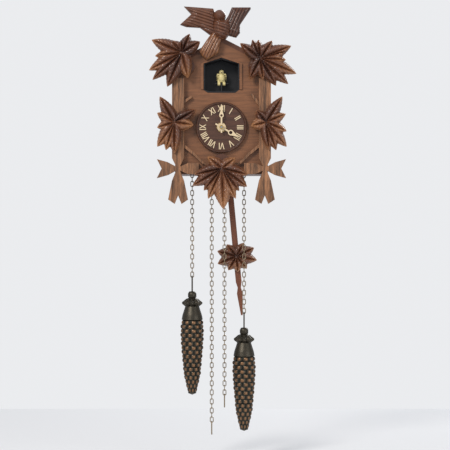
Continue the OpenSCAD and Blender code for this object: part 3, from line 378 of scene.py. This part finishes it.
def makeBird(spec):
    low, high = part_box("ridge_bird")
    zc = high[2] / mm - spec["topOfHead"]
    corners = (low[0] / mm, low[2] / mm), (high[0] / mm, high[2] / mm)
    parts = [birdLayer(spec["wings"], spec, zc, *corners, False), birdLayer(spec["body"], spec, zc, *corners, True)]
    obj = makeMesh("carved_ridge_bird", *joinParts(parts))
    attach(obj, "case")
    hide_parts("ridge_bird")
    return obj


ridgeBird = makeBird(birdSpec)
print("ridge bird carved")

# ---- pendulum leaf ----

bobSpec = {"turn": 5.4, "pivotZ": -40, "reach": 187, "back": -16.3, "thick": 9, "lobes": [
    (-22, 8, 13, -0.5), (-23, -7, 13, -0.2), (22, 8, 13, -0.4), (24, -7, 13, 0), (-11, -16, 12, 0.3),
    (11, -16, 12, 0.3), (0, -19, 13, 0.6), (-10, 15, 11, -0.3), (10, 15, 11, 0)]}


def boxArrays(low, high):
    # a plain strip of the bob's clip, its corners in millimetres
    pick = np.array([[i & 1, (i >> 1) & 1, i >> 2] for i in range(8)])
    verts = np.where(pick == 1, high, low).astype(float)
    faces = [[0, 2, 3, 1], [4, 5, 7, 6], [0, 1, 5, 4], [2, 6, 7, 3], [0, 4, 6, 2], [1, 3, 7, 5]]
    return verts, np.array(faces)


def makeBob(spec):
    # the carved leaf and its clip are made hanging straight, then turned about the leaf's centre
    low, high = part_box("pendulum_leaf")
    a = math.radians(spec["turn"])
    cx, cz = spec["reach"] * math.sin(a), spec["pivotZ"] - spec["reach"] * math.cos(a)
    turn = lambda x, z: ((x - cx) * math.cos(a) + (z - cz) * math.sin(a),
                         (z - cz) * math.cos(a) - (x - cx) * math.sin(a))
    carveSpec = dict(leafCarve, thick=spec["thick"])
    leaf = carve("bob", lambda x, z: leafField(*turn(x, z), spec["lobes"], carveSpec["hub"]),
                 lambda x, z: leafRelief(*turn(x, z), spec["lobes"], carveSpec),
                 (low[0] / mm, low[2] / mm), (high[0] / mm, high[2] / mm), spec["back"])
    parts = [leaf]
    for lo, hi in (((-5.2, spec["back"] - 0.5, -6), (-3.8, -12.4, 6)), ((3.8, spec["back"] - 0.5, -6), (5.2, -12.4, 6)),
                   ((-4.3, -13.2, -6), (4.3, -12.4, 6))):
        v, f = boxArrays(lo, hi)
        place = np.stack([cx + v[:, 0] * math.cos(a) - v[:, 2] * math.sin(a), v[:, 1],
                          cz + v[:, 0] * math.sin(a) + v[:, 2] * math.cos(a)], -1) * mm
        parts.append((place, f, 0.3))
    obj = makeMesh("carved_pendulum_leaf", *joinParts(parts))
    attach(obj, "bob")
    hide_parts("pendulum_leaf")
    return obj


bob = makeBob(bobSpec)
print("pendulum leaf carved")

# ---- pine cone weights ----

coneSpec = {"rows": 17, "scales": 9, "scaleTop": -34, "scaleLow": -119, "tipZ": -122,
            "profile": [(0, 0), (-0.5, 3.6), (-3, 5), (-7, 5), (-8, 4), (-9, 7), (-13, 12), (-15, 12), (-18, 8.2),
                        (-28, 11.4), (-40, 13.7), (-50, 14.1), (-66, 13.2), (-98, 10.2), (-114, 6.4), (-120, 4.7),
                        (-122, 0)]}


def scaleLens(depth, angle, spec):
    # lens = (0.5 + 0.5 cos(scales x angle + pi x row))^0.6 x sqrt(4u(1 - u)), u being the place within the row
    pitch = (spec["scaleTop"] - spec["scaleLow"]) / spec["rows"]
    v = (spec["scaleTop"] - depth) / pitch
    row, u = np.floor(v), v - np.floor(v)
    lens = (0.5 + 0.5 * np.cos(spec["scales"] * angle + np.pi * row)) ** 0.6 * np.sqrt(np.clip(4 * u * (1 - u), 0, 1))
    return np.where((v > 0) & (row < spec["rows"]), lens, -1)


def makeCone(node, body, spec):
    # radius = profile x (0.86 + 0.14 lens) in the rows of scales, and the crown's rim has eight points
    low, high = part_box(node)
    cx, cy, top = (low[0] + high[0]) / 2 / mm, (low[1] + high[1]) / 2 / mm, low[2] / mm - spec["tipZ"]
    z, r = np.array(spec["profile"], float).T
    depth = np.unique(np.concatenate([z, np.arange(spec["tipZ"], -8.9, 0.55)]))[::-1]
    base = np.interp(-depth, -z, r)
    a = np.linspace(0, 2 * np.pi, 72, endpoint=False)
    lens = scaleLens(depth[:, None], a[None, :], spec)
    crown = ((depth < -9.5) & (depth > -17.5))[:, None] * (1 - (0.5 + 0.5 * np.cos(8 * a[None, :])) ** 0.5) * 0.32
    radius = base[:, None] * np.where(lens >= 0, 0.86 + 0.14 * lens, 1) * (1 - crown)
    verts = np.stack([cx + radius * np.cos(a), cy + radius * np.sin(a), top + depth[:, None] + 0 * radius], -1)
    # painted highlight and painted shade: the bronze colour sits on the bulge of each scale and the gaps between scales
    # go dark
    tone = np.where(lens >= 0, lens, 0.45 + 0 * lens) + 0 * radius
    cone = (verts.reshape(-1, 3) * mm, gridFaces(len(depth), 72, True)[:, ::-1], tone.ravel())
    t = np.linspace(0, 2 * np.pi, 32, endpoint=False)
    half = (high[2] / mm - top + 1.5) / 2
    across = 3.4 * np.cos(t)
    up = top - 1.5 + half + (half - 3.4 - 0.8) * np.sign(np.sin(t)) + 3.4 * np.sin(t)
    loop = np.stack([cx + 0 * t, cy + across, up], -1)
    v, f = tubeArrays(loop, 0.8, 8, True)
    obj = makeMesh("pine_cone_" + node, *joinParts([cone, (v * mm, f, 0.5)]), sharp=55)
    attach(obj, body)
    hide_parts(node)
    return obj


cones = [makeCone("weight_left", "cone_left", coneSpec), makeCone("weight_right", "cone_right", coneSpec)]
print("cones made")

# ---- chains ----

chainSpec = {"pitch": 5.33, "wire": 1, "halfWidth": 1.8, "run": 1.54, "hookWidth": 1.9, "hookWire": 1.4}
strands = {"chain_left_weight": (24, "strand_left_weight"), "chain_left_free": (56, "strand_left_free"),
           "chain_right_free": (50, "strand_right_free"), "chain_right_weight": (32, "strand_right_weight")}


def ovalPath(half, run, count):
    # two half circles joined by straight sides: z = run x sign(sin t) + half x sin t
    t = (np.arange(count) + 0.5) * 2 * np.pi / count
    return half * np.cos(t), run * np.sign(np.sin(t)) + half * np.sin(t)


def makeStrand(node, count, body, spec):
    # links of round wire, each a quarter turn from the last, and a long hook under a free strand
    low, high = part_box(node)
    cx, cy = (low[0] + high[0]) / 2 / mm, (low[1] + high[1]) / 2 / mm
    if abs(high[1] - low[1] - (high[0] - low[0])) > 1e-4:
        cy = -45
    w, u = ovalPath(spec["halfWidth"], spec["run"], 14)
    first = high[2] / mm - spec["run"] - spec["halfWidth"] - spec["wire"] / 2
    parts = []
    for turned in (0, 1):
        flat = np.stack([w, 0 * w, u] if turned else [0 * w, w, u], -1)
        v, f = tubeArrays(flat, spec["wire"] / 2, 6, True)
        k = np.arange(turned, count, 2)
        shift = np.stack([cx + 0 * k, cy + 0 * k, first - k * spec["pitch"]], -1)
        every = (v[None] + shift[:, None]).reshape(-1, 3) * mm
        parts.append((every, (f[None] + (np.arange(len(k)) * len(v))[:, None, None]).reshape(-1, 4), 0.5))
    if node.endswith("free"):
        end = first - (count - 1) * spec["pitch"] - spec["run"] - spec["halfWidth"] + spec["wire"] / 2
        length = end + spec["hookWire"] - low[2] / mm
        w, u = ovalPath(spec["hookWidth"], length / 2 - spec["hookWidth"] - spec["hookWire"] / 2, 20)
        flat = np.stack([0 * w, w, u], -1)
        v, f = tubeArrays(flat, spec["hookWire"] / 2, 8, True)
        parts.append(((v + [cx, cy, low[2] / mm + length / 2]) * mm, f, 0.2))
    obj = makeMesh("wire_" + node, *joinParts(parts), sharp=0)
    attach(obj, body)
    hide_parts(node)
    return obj


chains = [makeStrand(node, count, body, chainSpec) for node, (count, body) in strands.items()]
print("chains made")

# ---- shared shader effects ----


def newGroup(name, ins, outs):
    group = bpy.data.node_groups.new(name, "ShaderNodeTree")
    for kind, names in (("INPUT", ins), ("OUTPUT", outs)):
        for label, socket in names:
            group.interface.new_socket(name=label, in_out=kind, socket_type=socket)
    return group, group.nodes.new("NodeGroupInput"), group.nodes.new("NodeGroupOutput")


def mathNode(tree, kind, a, b):
    node = tree.nodes.new("ShaderNodeMath")
    node.operation = kind
    for socket, value in zip(node.inputs, (a, b)):
        if isinstance(value, (int, float)):
            socket.default_value = value
        else:
            tree.links.new(value, socket)
    return node.outputs[0]


def makeGrainGroup():
    # grain = 0.65 of a noise stretched along the board plus 0.35 of fine pores; height is that grain
    group, enter, leave = newGroup("woodGrain", [("Stretch", "NodeSocketVector")],
                                   [("Grain", "NodeSocketFloat"), ("Height", "NodeSocketFloat")])
    place, scale = group.nodes.new("ShaderNodeTexCoord"), group.nodes.new("ShaderNodeVectorMath")
    scale.operation = "MULTIPLY"
    group.links.new(place.outputs["Object"], scale.inputs[0])
    group.links.new(enter.outputs["Stretch"], scale.inputs[1])
    total = None
    for size, share in ((1.0, 0.65), (3.7, 0.35)):
        noise = group.nodes.new("ShaderNodeTexNoise")
        noise.inputs["Scale"].default_value, noise.inputs["Detail"].default_value = size, 5
        noise.inputs["Distortion"].default_value = 0.4
        group.links.new(scale.outputs[0], noise.inputs["Vector"])
        part = mathNode(group, "MULTIPLY", noise.outputs[0], share)
        total = part if total is None else mathNode(group, "ADD", total, part)
    group.links.new(total, leave.inputs["Grain"])
    group.links.new(total, leave.inputs["Height"])
    return group


grainGroup = makeGrainGroup()


def linear(c):
    return tuple(v for v in c) + (1,)


def makeMaterial(name, spec):
    # colour value = tone (where a piece has one; on the carvings and cones it holds painted highlights and painted
    # shade) plus the grain's swing, read on a three-colour ramp
    mat = bpy.data.materials.new(name)
    mat.use_nodes = True
    tree = mat.node_tree
    shader = tree.nodes["Principled BSDF"]
    shader.inputs["Metallic"].default_value = spec.get("metal", 0)
    shader.inputs["Roughness"].default_value = spec["rough"]
    shader.inputs["Coat Weight"].default_value = spec.get("coat", 0)
    grain = tree.nodes.new("ShaderNodeGroup")
    grain.node_tree = grainGroup
    grain.inputs["Stretch"].default_value = spec["stretch"]
    swing = mathNode(tree, "MULTIPLY", mathNode(tree, "SUBTRACT", grain.outputs["Grain"], 0.5), spec["swing"])
    if spec.get("toned"):
        tone = tree.nodes.new("ShaderNodeAttribute")
        tone.attribute_name = "tone"
        value = mathNode(tree, "ADD", tone.outputs["Fac"], swing)
    else:
        value = mathNode(tree, "ADD", swing, 0.5)
    ramp = tree.nodes.new("ShaderNodeValToRGB")
    ramp.color_ramp.elements[0].color, ramp.color_ramp.elements[1].color = linear(spec["dark"]), linear(spec["pale"])
    ramp.color_ramp.elements.new(0.5).color = linear(spec["mid"])
    tree.links.new(value, ramp.inputs[0])
    tree.links.new(ramp.outputs[0], shader.inputs["Base Color"])
    bump = tree.nodes.new("ShaderNodeBump")
    bump.inputs["Strength"].default_value, bump.inputs["Distance"].default_value = spec.get("bump", 0.3), 0.0006
    tree.links.new(grain.outputs["Height"], bump.inputs["Height"])
    tree.links.new(bump.outputs[0], shader.inputs["Normal"])
    return mat


def tint(c, low=0.7, high=1.3):
    # dark and pale partners of one colour
    return {"dark": tuple(v * low for v in c), "mid": c, "pale": tuple(min(v * high, 1) for v in c)}


alongZ, alongX, fine = (420, 420, 34), (34, 420, 420), (900, 900, 900)
finishes = {
    "case_wood": dict(tint((0.115, 0.04, 0.017), 0.5, 1.5), rough=0.42, stretch=alongZ, swing=1.6, coat=0.15),
    "board_wood": dict(tint((0.2, 0.08, 0.032), 0.45, 1.6), rough=0.4, stretch=alongX, swing=1.6, coat=0.2),
    # the tone read on this ramp holds painted highlights and painted shade on the carvings
    "carved_leaf": dict(dark=(0.028, 0.009, 0.006), mid=(0.14, 0.05, 0.023), pale=(0.42, 0.19, 0.08), rough=0.4,
                        stretch=alongZ, swing=0.7, coat=0.2, toned=True),
    "carved_branch": dict(tint((0.2, 0.09, 0.04), 0.3, 2), rough=0.48, stretch=alongZ, swing=3.4, bump=1),
    "rod_wood": dict(tint((0.17, 0.055, 0.025), 0.5, 1.5), rough=0.42, stretch=alongZ, swing=1.6, coat=0.15),
    "dial_wood": dict(tint((0.075, 0.03, 0.016), 0.5, 1.7), rough=0.38, stretch=alongX, swing=1.8, coat=0.2),
    "numeral_plastic": dict(tint((0.72, 0.57, 0.36), 0.85, 1.1), rough=0.45, stretch=fine, swing=0.6, bump=0.08),
    "black_plastic": dict(tint((0.008, 0.008, 0.01)), rough=0.4, stretch=fine, swing=0.6, bump=0.1),
    "bird_plastic": dict(tint((0.74, 0.62, 0.28), 0.8, 1.15), rough=0.45, stretch=fine, swing=0.8, bump=0.1),
    "beak_plastic": dict(tint((0.05, 0.02, 0.012)), rough=0.5, stretch=fine, swing=0.6, bump=0.1),
    "steel": dict(tint((0.5, 0.5, 0.51)), rough=0.35, metal=1, stretch=alongX, swing=0.8, bump=0.1),
    "brass": dict(tint((0.68, 0.47, 0.16)), rough=0.3, metal=1, stretch=alongX, swing=0.8, bump=0.1),
    "chain_steel": dict(tint((0.3, 0.23, 0.15), 0.4, 1.5), rough=0.42, metal=1, stretch=fine, swing=1.6, bump=0.1),
    # the pale bronze end of this ramp is the painted highlight on the cone scales
    "cast_cone": dict(dark=(0.006, 0.01, 0.009), mid=(0.06, 0.052, 0.038), pale=(0.3, 0.155, 0.075), rough=0.4,
                      metal=0.75, stretch=fine, swing=0.9, bump=0.3, toned=True),
    "wheel_plastic": dict(tint((0.7, 0.69, 0.64), 0.85, 1.1), rough=0.4, stretch=fine, swing=0.6, bump=0.08),
    "coil_copper": dict(tint((0.42, 0.12, 0.04)), rough=0.35, stretch=(60, 60, 3000), swing=1.6, bump=0.6),
    "board_green": dict(tint((0.01, 0.09, 0.03)), rough=0.35, stretch=fine, swing=0.8, bump=0.1),
    "cell_jacket": dict(tint((0.5, 0.2, 0.03)), rough=0.3, metal=0.4, stretch=fine, swing=0.5, bump=0.05),
    "speaker_black": dict(tint((0.012, 0.012, 0.014)), rough=0.55, stretch=fine, swing=0.8, bump=0.3),
    "button_red": dict(tint((0.36, 0.01, 0.008)), rough=0.25, stretch=fine, swing=0.5, bump=0.05),
}
materials = {name: makeMaterial("finish_" + name, spec) for name, spec in finishes.items()}
for name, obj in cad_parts.items():
    for slot in obj.material_slots:
        key = slot.material.name.split(".")[0]
        if key not in materials:
            print("no finish for", key, "on", name)
        slot.material = materials.get(key, materials["case_wood"])
for obj in leaves + [bob, ridgeBird]:
    obj.data.materials.append(materials["carved_leaf"])
for obj in cones:
    obj.data.materials.append(materials["cast_cone"])
for obj in chains:
    obj.data.materials.append(materials["chain_steel"])
print("materials done")

# ---- floor ----


def makeFloor(drop, reach):
    z = cadBox[0][2] - drop
    mesh = bpy.data.meshes.new("floor")
    mesh.from_pydata([(-reach, -reach, z), (reach, -reach, z), (reach, reach, z), (-reach, reach, z)], [], [(0, 1, 2, 3)])
    obj = bpy.data.objects.new("floor", mesh)
    bpy.context.scene.collection.objects.link(obj)
    mat = bpy.data.materials.new("finish_floor")
    mat.use_nodes = True
    shader = mat.node_tree.nodes["Principled BSDF"]
    shader.inputs["Base Color"].default_value, shader.inputs["Roughness"].default_value = (0.8, 0.8, 0.81, 1), 0.9
    mesh.materials.append(mat)


makeFloor(0.03, 0.45)
